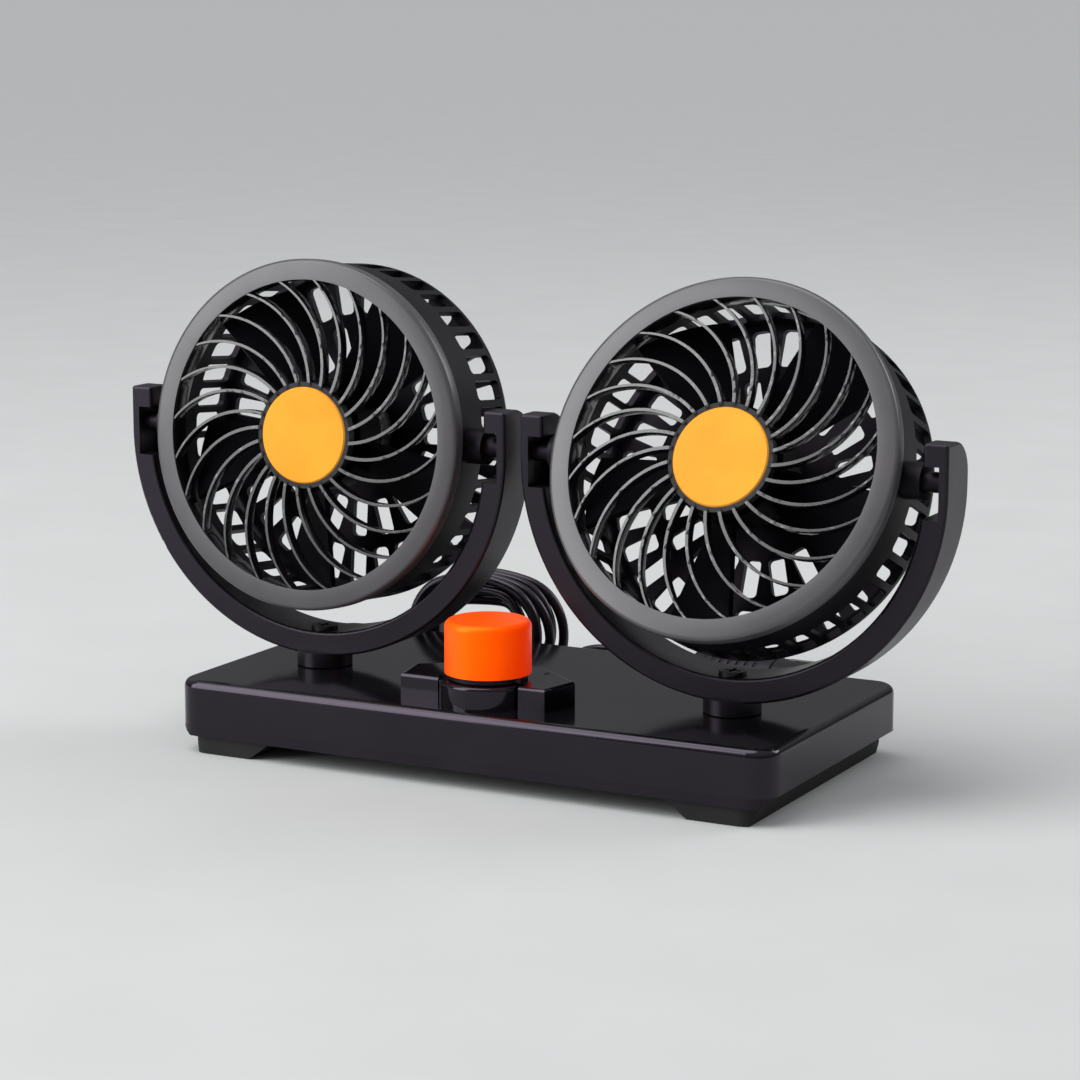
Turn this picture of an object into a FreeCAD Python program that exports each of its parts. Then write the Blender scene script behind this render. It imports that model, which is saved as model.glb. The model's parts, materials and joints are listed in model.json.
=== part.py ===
import FreeCAD, Part
import math
import os
import re
import Sketcher
from FreeCAD import Placement, Rotation, Vector

# Dual head car fan: two guarded fan heads tilt in U yokes that swivel on one low base with a rotary switch.
# Millimetres. +Z is up and -Y is the front. The origin is on the floor, under the middle of the base.

SIZES = {
    # Base box, its floor tray, feet and screws
    "base_length": 184.0,
    "base_depth": 92.7,
    "base_corner": 7.0,
    "cover_height": 13.0,
    "tray_height": 3.0,
    "top_wall": 2.5,
    "side_wall": 2.2,
    "top_round": 2.4,
    "end_slope": 4.5,
    "foot_height": 5.0,
    "foot_length": 17.5,
    "foot_outer_slope": 2.0,
    "foot_inner_slope": 6.5,
    "foot_end_inset": 6.5,
    "foot_side_inset": 1.0,
    "foot_corner": 5.0,
    "boss_radius": 3.5,
    "boss_end_inset": 16.0,
    "boss_side_inset": 9.0,
    "screw_radius": 1.4,
    "screw_length": 8.0,
    "screw_head_radius": 2.8,
    "screw_head_height": 1.8,
    # Driver recesses, as shares of a screw head's radius or height
    "cross_length": 1.2,
    "cross_width": 0.3,
    "cross_depth": 0.55,
    # Clearances: between faces that slide past each other, round turning pins, and round seated pieces
    "face_gap": 0.3,
    "running_clearance": 0.05,
    "seat_clearance": 0.1,
    # Rotary switch, its plinth and knob
    "knob_inset": 17.35,
    "knob_radius": 12.0,
    "knob_height": 14.8,
    "knob_round": 2.0,
    "knob_bore_depth": 9.0,
    "skirt_radius": 11.0,
    "skirt_height": 1.5,
    "plinth_height": 6.5,
    "plinth_round": 1.0,
    "plinth_shift": -1.85,
    "plinth_length": 50.2,
    "plinth_front_length": 44.9,
    "plinth_back_length": 18.0,
    "plinth_front": 6.0,
    "plinth_back": 19.5,
    "plinth_end_back": 7.0,
    "collar_radius": 13.5,
    "slot_width": 0.8,
    "slot_depth": 2.5,
    "recess_radius": 7.0,
    "recess_depth": 3.0,
    "bushing_radius": 4.0,
    "bushing_below_top": 0.5,
    "switch_nut_radius": 6.0,
    "switch_nut_height": 2.0,
    "switch_radius": 8.25,
    "switch_height": 7.0,
    "shaft_radius": 3.0,
    "shaft_in_switch": 5.0,
    # Swivels and yokes
    "swivel_spacing": 129.4,
    "swivel_forward": 9.4,
    "pivot_rise": 67.3,
    "yoke_radius": 62.3,
    "yoke_band": 6.85,
    "yoke_depth": 15.5,
    "yoke_lead": 5.5,
    "yoke_drop": 1.49,
    "arm_rise": 10.8,
    "arm_wall": 2.5,
    "arm_round": 9.0,
    "yoke_soften": 0.8,
    "pocket_rise": 4.8,
    "pocket_fall": 9.3,
    "pocket_back": 2.5,
    "neck_radius": 8.0,
    "neck_bite": 1.0,
    "spigot_radius": 5.0,
    "swivel_screw_radius": 2.0,
    "swivel_head_radius": 3.8,
    "swivel_head_height": 2.2,
    "swivel_seat_depth": 1.0,
    "swivel_tail": 1.0,
    "washer_radius": 8.5,
    "washer_thickness": 1.2,
    "swivel_nut_radius": 4.2,
    "swivel_nut_height": 3.0,
    # Fan heads: guard, housing, pivots
    "left_tilt": 5.25,
    "right_tilt": 22.5,
    "ring_radius": 50.0,
    "ring_face": 4.8,
    "ring_depth": 4.0,
    "ring_lead": 11.1,
    "ring_round": 1.2,
    "hoop_thickness": 0.9,
    "hoop_setback": 1.0,
    "hoop_flange_depth": 3.0,
    "cap_radius": 13.74,
    "cap_thickness": 1.2,
    "cap_setback": 0.53,
    "cap_bevel": 0.4,
    "hub_rim": 1.36,
    "hub_back": 2.0,
    "hub_lip": 0.9,
    "spoke_count": 24,
    "spoke_width": 1.0,
    "spoke_depth": 3.2,
    "spoke_start": 9.5,
    "spoke_setback": 0.3,
    "spoke_sweep": 34.0,
    "spoke_middle_sweep": 13.6,
    "spoke_bite": 0.7,
    "barrel_radius": 49.0,
    "barrel_wall": 1.8,
    "head_depth": 36.0,
    "rear_round": 5.0,
    "back_wall": 2.0,
    "side_window_count": 40,
    "side_window_start": 17.0,
    "side_window_length": 13.5,
    "side_window_width": 5.6,
    "outer_window_count": 30,
    "outer_window_start": 34.5,
    "outer_window_length": 10.5,
    "outer_window_width": 5.2,
    "inner_window_count": 20,
    "inner_window_start": 20.5,
    "inner_window_length": 10.5,
    "inner_window_width": 4.8,
    "window_corner": 1.4,
    "pivot_radius": 2.75,
    "pivot_bite": 1.3,
    "pivot_end_gap": 0.5,
    "pivot_boss_radius": 5.0,
    "pivot_boss_gap": 1.2,
    # Motors and fan wheels
    "motor_radius": 12.0,
    "motor_length": 18.0,
    "motor_end_radius": 10.5,
    "motor_end_length": 4.0,
    "motor_screw_radius": 1.0,
    "motor_screw_spread": 6.0,
    "motor_screw_bite": 2.5,
    "motor_screw_head_radius": 2.0,
    "motor_screw_head_height": 1.2,
    "motor_shaft_radius": 1.15,
    "motor_shaft_depth": 16.0,
    "rotor_gap": 1.9,
    "rotor_hub_radius": 16.0,
    "rotor_hub_wall": 2.0,
    "rotor_hub_length": 11.5,
    "rotor_boss_radius": 4.0,
    "rotor_boss_gap": 0.5,
    "rotor_tip_gap": 3.6,
    "blade_count": 5,
    "blade_start": 40.0,
    "blade_thickness": 1.4,
    "blade_root_chord": 14.0,
    "blade_tip_chord": 27.0,
    "blade_root_pitch": 46.0,
    "blade_tip_pitch": 29.0,
    "blade_middle": 7.2,
    # Supply cord, its tied hank and its plug
    "cord_radius": 1.5,
    "relief_offset": 82.0,
    "relief_rise": 6.0,
    "relief_radius": 3.4,
    "relief_neck_radius": 2.5,
    "relief_length": 6.05,
    "relief_flange": 1.2,
    "hank_center_x": -51.0,
    "hank_first_y": 67.3,
    "hank_run": 10.6,
    "hank_radius": 17.2,
    "hank_loops": 3,
    "hank_step": 3.5,
    "floor_gap": 0.1,
    "tie_gap": 0.4,
    "tie_thickness": 0.8,
    "tie_width": 4.0,
    "plug_start": 14.0,
    "plug_y": 60.0,
    "plug_radius": 10.5,
    "plug_length": 26.0,
    "plug_bevel": 1.5,
    "plug_relief_length": 8.0,
    "plug_relief_small": 2.4,
    "plug_relief_large": 4.5,
    "nose_radius": 9.8,
    "nose_length": 18.0,
    "nose_bevel": 2.0,
    "contact_length": 10.0,
    "contact_width": 2.0,
    "contact_proud": 0.15,
    "contact_depth": 2.0,
    "contact_start": 4.0,
    "tip_radius": 3.2,
    "tip_reach": 5.0,
    "tip_inside": 3.0,
    "tip_bevel": 1.2,
    "tip_travel": 3.0,
}

# How far a cutting tool runs past the face that it opens.
OVER = 1.0
# Two lengths that differ by less than this are the same.
SAME = 1e-6
# Share of a cord's shorter run that an arc takes up at each corner.
ARC_SHARE = 0.45
# Layers of the hank: an even number, so that both of its ends are outside.
HANK_LAYERS = 4

# Heights and depths that several pieces share, as formulas on the sheet.
TRAY_TOP = "(foot_height + tray_height)"
BASE_TOP = f"({TRAY_TOP} + cover_height)"
COVER_CEILING = f"({BASE_TOP} - top_wall)"
KNOB_Y = "(knob_inset - base_depth / 2)"
PLINTH_TOP = f"({BASE_TOP} + plinth_height)"
RECESS_FLOOR = f"({PLINTH_TOP} - recess_depth)"
SKIRT_BOTTOM = f"({PLINTH_TOP} + face_gap)"
KNOB_BOTTOM = f"({SKIRT_BOTTOM} + skirt_height)"
PIVOT_Z = f"({BASE_TOP} + pivot_rise)"
YOKE_CENTER_Z = f"({PIVOT_Z} - yoke_drop)"
YOKE_INNER = "(yoke_radius - yoke_band)"
YOKE_FRONT = "(-swivel_forward - yoke_lead)"
ARM_TOP = f"({PIVOT_Z} + arm_rise)"
SPIGOT_END = f"({COVER_CEILING} - face_gap)"
WASHER_BOTTOM = f"({SPIGOT_END} - washer_thickness)"
SWIVEL_NUT_BOTTOM = f"({WASHER_BOTTOM} - swivel_nut_height)"
SWIVEL_SEAT = f"({YOKE_CENTER_Z} - {YOKE_INNER} - swivel_seat_depth)"
HEAD_REAR = "(head_depth - ring_lead)"
BACK_INNER = f"({HEAD_REAR} - back_wall)"
MOTOR_END_FRONT = f"({BACK_INNER} - motor_end_length)"
MOTOR_FRONT = f"({MOTOR_END_FRONT} - motor_length)"
RING_BACK = "(ring_depth - ring_lead)"
BARREL_INNER = "(barrel_radius - barrel_wall)"
CAP_FRONT = "(cap_setback - ring_lead)"
CAP_SEAT = f"({CAP_FRONT} + cap_thickness)"
HUB_BACK = f"({CAP_SEAT} + hub_back)"
ROTOR_FRONT = f"({HUB_BACK} + rotor_gap)"
PIVOT_END = "(yoke_radius - arm_wall + pivot_bite)"
BOSS_END = f"({YOKE_INNER} - pivot_boss_gap)"
RELIEF_Z = f"({TRAY_TOP} + relief_rise)"
PLUG_AXIS_Z = "(plug_radius + floor_gap)"
PLUG_BODY_START = "(plug_start + plug_relief_length)"
NOSE_START = f"({PLUG_BODY_START} + plug_length)"
NOSE_END = f"({NOSE_START} + nose_length)"

# Points of the cord's free stretches, from the base to the hank and from the hank to the plug.
LEAD_ROUTE = [(-82.0, 52.4, 14.0), (-82.0, 58.4, 14.0), (-79.5, 64.0, 12.0), (-75.0, 67.3, 8.6),
              (-69.0, 67.3, 4.2), (-62.5, 67.3, 1.6), (-56.3, 67.3, 1.6)]
TAIL_ROUTE = [(-45.7, 56.8, 1.6), (-37.0, 56.8, 1.6), (-26.0, 57.4, 9.0), (-16.0, 58.3, 16.5),
              (-7.0, 59.1, 18.2), (1.0, 59.7, 15.0), (6.5, 60.0, 11.4), (10.5, 60.0, 10.6),
              (14.0, 60.0, 10.6)]

SIDES = (("left", -1), ("right", 1))
ALONG = {"X": Rotation(Vector(0, 1, 0), 90), "Y": Rotation(Vector(1, 0, 0), -90), "Z": Rotation()}
HEAD_AXIS = Vector(0, 1, 0)
KNOB_SPOT = ("0", KNOB_Y)
WORD = re.compile(r"[A-Za-z_]\w*")

doc = FreeCAD.newDocument("dual_head_car_fan")
sheet = doc.addObject("Spreadsheet::Sheet", "Sizes")
for row, (alias, amount) in enumerate(SIZES.items(), start=1):
    sheet.set(f"A{row}", alias)
    sheet.set(f"B{row}", str(amount))
    sheet.setAlias(f"B{row}", alias)
doc.recompute()

nodes = {}


def size(alias):
    """One size, read from the sheet."""
    return float(sheet.get(alias))


def count(alias):
    """One count, read from the sheet."""
    return int(round(size(alias)))


def sized(formula):
    """A formula with each size in it pointed at the sheet."""
    return WORD.sub(lambda word: "Sizes." + word.group() if word.group() in SIZES else word.group(), formula)


def bind(item, **formulas):
    for name, formula in formulas.items():
        item.setExpression(name, sized(formula))


def place(item, x="0", y="0", z="0", turn=Rotation()):
    item.Placement = Placement(Vector(), turn)
    for letter, formula in zip("xyz", (x, y, z)):
        item.setExpression(f"Placement.Base.{letter}", sized(formula))


def keep(node, item):
    """Make an item one of the parts that are written."""
    item.Label = node
    nodes[node] = item


def box(name, lengths, corner):
    item = doc.addObject("Part::Box", name)
    bind(item, Length=lengths[0], Width=lengths[1], Height=lengths[2])
    place(item, *corner)
    return item


def rod(name, radius, length, start, along="Z"):
    item = doc.addObject("Part::Cylinder", name)
    bind(item, Radius=radius, Height=length)
    place(item, *start, turn=ALONG[along])
    return item


def hex_prism(name, radius, height, start):
    item = doc.addObject("Part::Prism", name)
    item.Polygon = 6
    bind(item, Circumradius=radius, Height=height)
    place(item, *start)
    return item


def fuse(name, *pieces):
    item = doc.addObject("Part::MultiFuse", name)
    item.Shapes = list(pieces)
    item.Refine = True
    return item


def cut(name, base, *tools):
    item = doc.addObject("Part::Cut", name)
    item.Base = base
    item.Tool = tools[0] if len(tools) == 1 else fuse(f"{name}_tools", *tools)
    item.Refine = True
    return item


def common(name, first, second):
    item = doc.addObject("Part::Common", name)
    item.Base = first
    item.Tool = second
    item.Refine = True
    return item


def group(name, *pieces):
    item = doc.addObject("Part::Compound", name)
    item.Links = list(pieces)
    return item


def ready_shape(name, shape):
    """A piece whose shape is worked out here from the sizes."""
    item = doc.addObject("Part::Feature", name)
    item.Shape = shape
    return item


def lies_at(letter, levels):
    """A test for edges that stay at one of the given levels along an axis."""
    def test(edge):
        middle = edge.valueAt((edge.FirstParameter + edge.LastParameter) / 2)
        points = [vertex.Point for vertex in edge.Vertexes] + [middle]
        return any(all(abs(getattr(point, letter) - level) < SAME for point in points) for level in levels)
    return test


def round_edges(name, base, radius, *tests):
    """Round the edges of a piece that pass every test."""
    doc.recompute()
    edges = []
    for number, edge in enumerate(base.Shape.Edges, start=1):
        if all(test(edge) for test in tests):
            edges.append((number, radius, radius))
    item = doc.addObject("Part::Fillet", name)
    item.Base = base
    item.Edges = edges
    return item


def rounded_block(name, length, depth, height, bottom, radius):
    """A block about the Z axis with its four upright corners rounded."""
    block = box(f"{name}_block", (length, depth, height), (f"-({length}) / 2", f"-({depth}) / 2", bottom))
    doc.recompute()
    bounds = block.Shape.BoundBox
    return round_edges(name, block, radius, lies_at("x", (bounds.XMin, bounds.XMax)),
                       lies_at("y", (bounds.YMin, bounds.YMax)))


def outline(body, name, role, corners):
    """A closed sketch of straight sides, each corner held by two formulas."""
    sketch = body.newObject("Sketcher::SketchObject", name)
    planes = [plane for plane in body.Origin.OriginFeatures if plane.Role == role]
    sketch.AttachmentSupport = [(planes[0], "")]
    sketch.MapMode = "FlatFace"
    total = len(corners)
    turn = 2 * math.pi / total
    guess = [Vector(math.cos(turn * step), math.sin(turn * step), 0) for step in range(total)]
    for step in range(total):
        sketch.addGeometry(Part.LineSegment(guess[step], guess[(step + 1) % total]))
    for step in range(total):
        sketch.addConstraint(Sketcher.Constraint("Coincident", step, 2, (step + 1) % total, 1))
    for step, corner in enumerate(corners):
        for kind, formula in zip(("DistanceX", "DistanceY"), corner):
            index = sketch.addConstraint(Sketcher.Constraint(kind, -1, 1, step, 1, 1.0))
            sketch.setExpression(f"Constraints[{index}]", sized(formula))
    return sketch


def turned(name, corners, axis="V_Axis"):
    """A body turned from an outline about one axis of its sketch."""
    body = doc.addObject("PartDesign::Body", name)
    sketch = outline(body, f"{name}_profile", "XY_Plane", corners)
    revolution = body.newObject("PartDesign::Revolution", f"{name}_turn")
    revolution.Profile = sketch
    revolution.ReferenceAxis = (sketch, [axis])
    revolution.Angle = 360
    return body


def padded(name, corners, height, role):
    """A body padded from an outline."""
    body = doc.addObject("PartDesign::Body", name)
    sketch = outline(body, f"{name}_profile", role, corners)
    pad = body.newObject("PartDesign::Pad", f"{name}_pad")
    pad.Profile = sketch
    bind(pad, Length=height)
    return body


def ring_of(shape, copies, start=0.0):
    """Copies of a shape, evenly spaced round the axis of a head, the first one turned by the start angle."""
    spun = []
    for step in range(copies):
        copy = shape.copy()
        copy.rotate(Vector(), HEAD_AXIS, start + 360.0 * step / copies)
        spun.append(copy)
    return Part.makeCompound(spun)


def swivel_spot(sign):
    return (f"({sign} * swivel_spacing / 2)", "-swivel_forward")


def on_head(node, item, side, sign):
    """Keep a piece that is modelled about the pivot, facing -Y, and put it in its tilted head."""
    place(item, *swivel_spot(sign), PIVOT_Z, turn=Rotation(Vector(1, 0, 0), 90))
    item.setExpression("Placement.Rotation.Angle", sized(f"-{side}_tilt"))
    keep(node, item)


def screw_spots():
    x = "(base_length / 2 - boss_end_inset)"
    y = "(base_depth / 2 - boss_side_inset)"
    return [(f"{across} * {x}", f"{along} * {y}") for across in (-1, 1) for along in (-1, 1)]


def cross_recess(name, head_radius, head_height, center, axis):
    """Two crossing bars that sink a driver recess into a screw head, about the middle of its outer face."""
    arm = f"(cross_length * {head_radius})"
    width = f"(cross_width * {head_radius})"
    bars = []
    for number, lengths in enumerate(([arm, width], [width, arm])):
        lengths.insert(axis, f"(2 * cross_depth * {head_height})")
        corner = [f"{middle} - {length} / 2" for middle, length in zip(center, lengths)]
        bars.append(box(f"{name}_bar_{number}", lengths, corner))
    return bars


def make_base_cover():
    blank = rounded_block("cover_blank", "base_length", "base_depth", "cover_height", TRAY_TOP,
                          size("base_corner"))
    doc.recompute()
    soft = round_edges("cover_soft", blank, size("top_round"), lies_at("z", (blank.Shape.BoundBox.ZMax,)))
    hollow = rounded_block("cover_hollow", "base_length - 2 * side_wall", "base_depth - 2 * side_wall",
                           f"cover_height - top_wall + {OVER}", f"{TRAY_TOP} - {OVER}",
                           size("base_corner") - size("side_wall"))
    shell = cut("cover_shell", soft, hollow)
    bosses = []
    holes = []
    for step, spot in enumerate(screw_spots()):
        bosses.append(rod(f"cover_boss_{step}", "boss_radius", "cover_height - top_wall / 2",
                          (*spot, TRAY_TOP)))
        holes.append(rod(f"cover_pilot_{step}", "screw_radius + running_clearance",
                         f"screw_length - tray_height + face_gap + {OVER}", (*spot, f"{TRAY_TOP} - {OVER}")))
    through = f"top_wall + 2 * {OVER}"
    below = f"{COVER_CEILING} - {OVER}"
    for side, sign in SIDES:
        holes.append(rod(f"cover_swivel_{side}", "spigot_radius + running_clearance", through,
                         (*swivel_spot(sign), below)))
    holes.append(rod("cover_switch_hole", "bushing_radius + seat_clearance", through, (*KNOB_SPOT, below)))
    holes.append(rod("cover_cord_hole", "relief_neck_radius + seat_clearance", f"side_wall + 2 * {OVER}",
                     ("-relief_offset", f"base_depth / 2 - side_wall - {OVER}", RELIEF_Z), "Y"))
    keep("base_cover", cut("base_cover", fuse("cover_solid", shell, *bosses), *holes))


def make_base_tray():
    blank = rounded_block("tray_blank", "base_length", "base_depth", "tray_height", "foot_height",
                          size("base_corner"))
    top_end = "(base_length / 2)"
    low_end = "(base_length / 2 - end_slope)"
    slopes = padded("tray_slopes", [(f"-{top_end}", "0"), (f"-{low_end}", "-tray_height"),
                                    (low_end, "-tray_height"), (top_end, "0")],
                    f"base_depth + 2 * {OVER}", "XZ_Plane")
    place(slopes, "0", f"base_depth / 2 + {OVER}", TRAY_TOP)
    holes = []
    for step, spot in enumerate(screw_spots()):
        start = (*spot, f"foot_height - {OVER}")
        holes.append(rod(f"tray_hole_{step}", "screw_radius + seat_clearance",
                         f"tray_height + 2 * {OVER}", start))
        holes.append(rod(f"tray_sink_{step}", "screw_head_radius + seat_clearance",
                         f"screw_head_height + {OVER}", start))
    keep("base_tray", cut("base_tray", common("tray_plate", blank, slopes), *holes))


def make_base_screws():
    screws = []
    for step, spot in enumerate(screw_spots()):
        start = (*spot, "foot_height")
        head = rod(f"base_screw_head_{step}", "screw_head_radius", "screw_head_height", start)
        shank = rod(f"base_screw_shank_{step}", "screw_radius", "screw_length", start)
        screws.append(fuse(f"base_screw_{step}", head, shank))
    keep("base_screws", group("base_screws", *screws))


def make_feet():
    """Runners across both ends of the base, which taper towards the floor."""
    floor_end = "(base_length / 2 - foot_end_inset)"
    top_end = f"({floor_end} + foot_outer_slope)"
    floor_start = f"({floor_end} - foot_length)"
    for side, sign in SIDES:
        blank = rounded_block(f"foot_blank_{side}", f"2 * {top_end}", "base_depth - 2 * foot_side_inset",
                              "foot_height", "0", size("foot_corner"))
        slopes = padded(f"foot_slopes_{side}",
                        [(f"{sign} * {floor_start}", "0"), (f"{sign} * {floor_end}", "0"),
                         (f"{sign} * {top_end}", "foot_height"),
                         (f"{sign} * ({floor_start} - foot_inner_slope)", "foot_height")],
                        "base_depth", "XZ_Plane")
        place(slopes, "0", "base_depth / 2")
        keep(f"foot_{side}", common(f"foot_{side}", blank, slopes))


def make_plinth():
    front = f"({KNOB_Y} - plinth_front)"
    end = f"({KNOB_Y} + plinth_end_back)"
    back = f"({KNOB_Y} + plinth_back)"
    plate = padded("plinth_plate", [("-plinth_front_length / 2", front), ("plinth_front_length / 2", front),
                                    ("plinth_length / 2", end), ("plinth_back_length / 2", back),
                                    ("-plinth_back_length / 2", back), ("-plinth_length / 2", end)],
                   "plinth_height", "XY_Plane")
    place(plate, "plinth_shift", "0", BASE_TOP)
    collar = rod("plinth_collar", "collar_radius", "plinth_height", (*KNOB_SPOT, BASE_TOP))
    block = fuse("plinth_block", plate, collar)
    doc.recompute()
    soft = round_edges("plinth_soft", block, size("plinth_round"), lies_at("z", (block.Shape.BoundBox.ZMax,)))
    height = f"plinth_height + 2 * {OVER}"
    bottom = f"{BASE_TOP} - {OVER}"
    tools = [rod("plinth_bore", "bushing_radius + seat_clearance", height, (*KNOB_SPOT, bottom)),
             rod("plinth_recess", "recess_radius", f"recess_depth + {OVER}", (*KNOB_SPOT, RECESS_FLOOR))]
    for side, sign in SIDES:
        meeting = f"{sign} * sqrt(collar_radius ^ 2 - plinth_front ^ 2)"
        tools.append(box(f"plinth_slot_{side}", ("slot_width", "2 * slot_depth", height),
                         (f"{meeting} - slot_width / 2", f"{front} - slot_depth", bottom)))
    keep("switch_plinth", cut("switch_plinth", soft, *tools))


def make_switch():
    case = rod("switch_case", "switch_radius", "switch_height",
               (*KNOB_SPOT, f"{COVER_CEILING} - switch_height"))
    bushing = rod("switch_bushing", "bushing_radius", "top_wall + plinth_height - bushing_below_top",
                  (*KNOB_SPOT, COVER_CEILING))
    bore = rod("switch_bore", "shaft_radius + running_clearance",
               f"shaft_in_switch + face_gap + top_wall + plinth_height + {OVER}",
               (*KNOB_SPOT, f"{COVER_CEILING} - shaft_in_switch - face_gap"))
    keep("switch_body", cut("switch_body", fuse("switch_whole", case, bushing), bore))
    blank = hex_prism("switch_nut_blank", "switch_nut_radius", "switch_nut_height",
                      (*KNOB_SPOT, RECESS_FLOOR))
    hole = rod("switch_nut_hole", "bushing_radius + running_clearance", f"switch_nut_height + 2 * {OVER}",
               (*KNOB_SPOT, f"{RECESS_FLOOR} - {OVER}"))
    keep("switch_nut", cut("switch_nut", blank, hole))


def make_knob():
    blank = rod("knob_blank", "knob_radius", "knob_height", (*KNOB_SPOT, KNOB_BOTTOM))
    doc.recompute()
    soft = round_edges("knob_soft", blank, size("knob_round"), lies_at("z", (blank.Shape.BoundBox.ZMax,)))
    bore = rod("knob_bore", "shaft_radius", f"knob_bore_depth + {OVER}",
               (*KNOB_SPOT, f"{KNOB_BOTTOM} - {OVER}"))
    keep("knob", cut("knob", soft, bore))
    disc = rod("skirt_disc", "skirt_radius", "skirt_height", (*KNOB_SPOT, SKIRT_BOTTOM))
    hole = rod("skirt_hole", "shaft_radius", f"skirt_height + 2 * {OVER}",
               (*KNOB_SPOT, f"{SKIRT_BOTTOM} - {OVER}"))
    keep("knob_skirt", cut("knob_skirt", disc, hole))
    start = f"({COVER_CEILING} - shaft_in_switch)"
    keep("switch_shaft", rod("switch_shaft", "shaft_radius", f"{KNOB_BOTTOM} + knob_bore_depth - {start}",
                             (*KNOB_SPOT, start)))


def soft_band(side, x):
    """The U of a yoke: half a ring and two straight arms, with rounded arm tops and softened edges."""
    past_front = f"{YOKE_FRONT} - {OVER}"
    past_depth = f"yoke_depth + 2 * {OVER}"
    rise = f"{ARM_TOP} - {YOKE_CENTER_Z}"
    outer = rod(f"{side}_band_outer", "yoke_radius", "yoke_depth", (x, YOKE_FRONT, YOKE_CENTER_Z), "Y")
    inner = rod(f"{side}_band_inner", YOKE_INNER, past_depth, (x, past_front, YOKE_CENTER_Z), "Y")
    for half_ring in (outer, inner):
        half_ring.Angle = 180
    arms = box(f"{side}_arms", ("2 * yoke_radius", "yoke_depth", rise),
               (f"{x} - yoke_radius", YOKE_FRONT, YOKE_CENTER_Z))
    opening = box(f"{side}_opening", (f"2 * {YOKE_INNER}", past_depth, f"{rise} + {OVER}"),
                  (f"{x} - {YOKE_INNER}", past_front, YOKE_CENTER_Z))
    band = cut(f"{side}_band", fuse(f"{side}_band_block", outer, arms), inner, opening)
    doc.recompute()
    bounds = band.Shape.BoundBox
    topped = round_edges(f"{side}_band_topped", band, size("arm_round"),
                         lies_at("z", (bounds.ZMax,)), lies_at("y", (bounds.YMax,)))
    return round_edges(f"{side}_band_soft", topped, size("yoke_soften"),
                       lies_at("y", (bounds.YMin, bounds.YMax)))


def make_yoke(side, sign):
    x, y = swivel_spot(sign)
    neck_bottom = f"({BASE_TOP} + face_gap)"
    neck_top = f"({YOKE_CENTER_Z} - yoke_radius + neck_bite)"
    neck = rod(f"{side}_neck", "neck_radius", f"{neck_top} - {neck_bottom}", (x, y, neck_bottom))
    spigot = rod(f"{side}_spigot", "spigot_radius", f"{neck_top} - {SPIGOT_END}", (x, y, SPIGOT_END))
    solid = fuse(f"{side}_yoke_solid", soft_band(side, x), neck, spigot)
    tools = []
    for end, start in (("left", f"{x} - yoke_radius + arm_wall"), ("right", f"{x} + {YOKE_INNER} - {OVER}")):
        tools.append(box(f"{side}_pocket_{end}",
                         (f"yoke_band - arm_wall + {OVER}", f"yoke_depth - pocket_back + {OVER}",
                          "pocket_rise + pocket_fall"),
                         (start, f"{YOKE_FRONT} - {OVER}", f"{PIVOT_Z} - pocket_fall")))
    reach = f"({PIVOT_END} + pivot_end_gap)"
    tools.append(rod(f"{side}_pivot_bore", "pivot_radius + running_clearance", f"2 * {reach}",
                     (f"{x} - {reach}", y, PIVOT_Z), "X"))
    tools.append(rod(f"{side}_swivel_bore", "swivel_screw_radius + seat_clearance",
                     f"{SWIVEL_SEAT} - {SPIGOT_END} + 2 * {OVER}", (x, y, f"{SPIGOT_END} - {OVER}")))
    tools.append(rod(f"{side}_swivel_sink", "swivel_head_radius + seat_clearance",
                     "swivel_seat_depth + swivel_head_height", (x, y, SWIVEL_SEAT)))
    keep(f"{side}_yoke", cut(f"{side}_yoke", solid, *tools))


def make_swivel_hardware(side, sign):
    spot = swivel_spot(sign)
    tail_end = f"({SWIVEL_NUT_BOTTOM} - swivel_tail)"
    head = rod(f"{side}_swivel_head", "swivel_head_radius", "swivel_head_height", (*spot, SWIVEL_SEAT))
    shank = rod(f"{side}_swivel_shank", "swivel_screw_radius",
                f"{SWIVEL_SEAT} + swivel_head_height - {tail_end}", (*spot, tail_end))
    recess = cross_recess(f"{side}_swivel_recess", "swivel_head_radius", "swivel_head_height",
                          (*spot, f"({SWIVEL_SEAT} + swivel_head_height)"), 2)
    solid = fuse(f"{side}_swivel_solid", head, shank)
    keep(f"{side}_swivel_screw", cut(f"{side}_swivel_screw", solid, *recess))
    disc = rod(f"{side}_washer_disc", "washer_radius", "washer_thickness", (*spot, WASHER_BOTTOM))
    hole = rod(f"{side}_washer_hole", "swivel_screw_radius + seat_clearance",
               f"washer_thickness + 2 * {OVER}", (*spot, f"{WASHER_BOTTOM} - {OVER}"))
    keep(f"{side}_swivel_washer", cut(f"{side}_swivel_washer", disc, hole))
    nut = hex_prism(f"{side}_nut_blank", "swivel_nut_radius", "swivel_nut_height", (*spot, SWIVEL_NUT_BOTTOM))
    thread = rod(f"{side}_nut_hole", "swivel_screw_radius + running_clearance",
                 f"swivel_nut_height + 2 * {OVER}", (*spot, f"{SWIVEL_NUT_BOTTOM} - {OVER}"))
    keep(f"{side}_swivel_nut", cut(f"{side}_swivel_nut", nut, thread))


def polar(radius, degrees, y):
    """A point of a head, by its radius and its angle from +X towards +Z."""
    angle = math.radians(degrees)
    return Vector(radius * math.cos(angle), y, radius * math.sin(angle))


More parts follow.
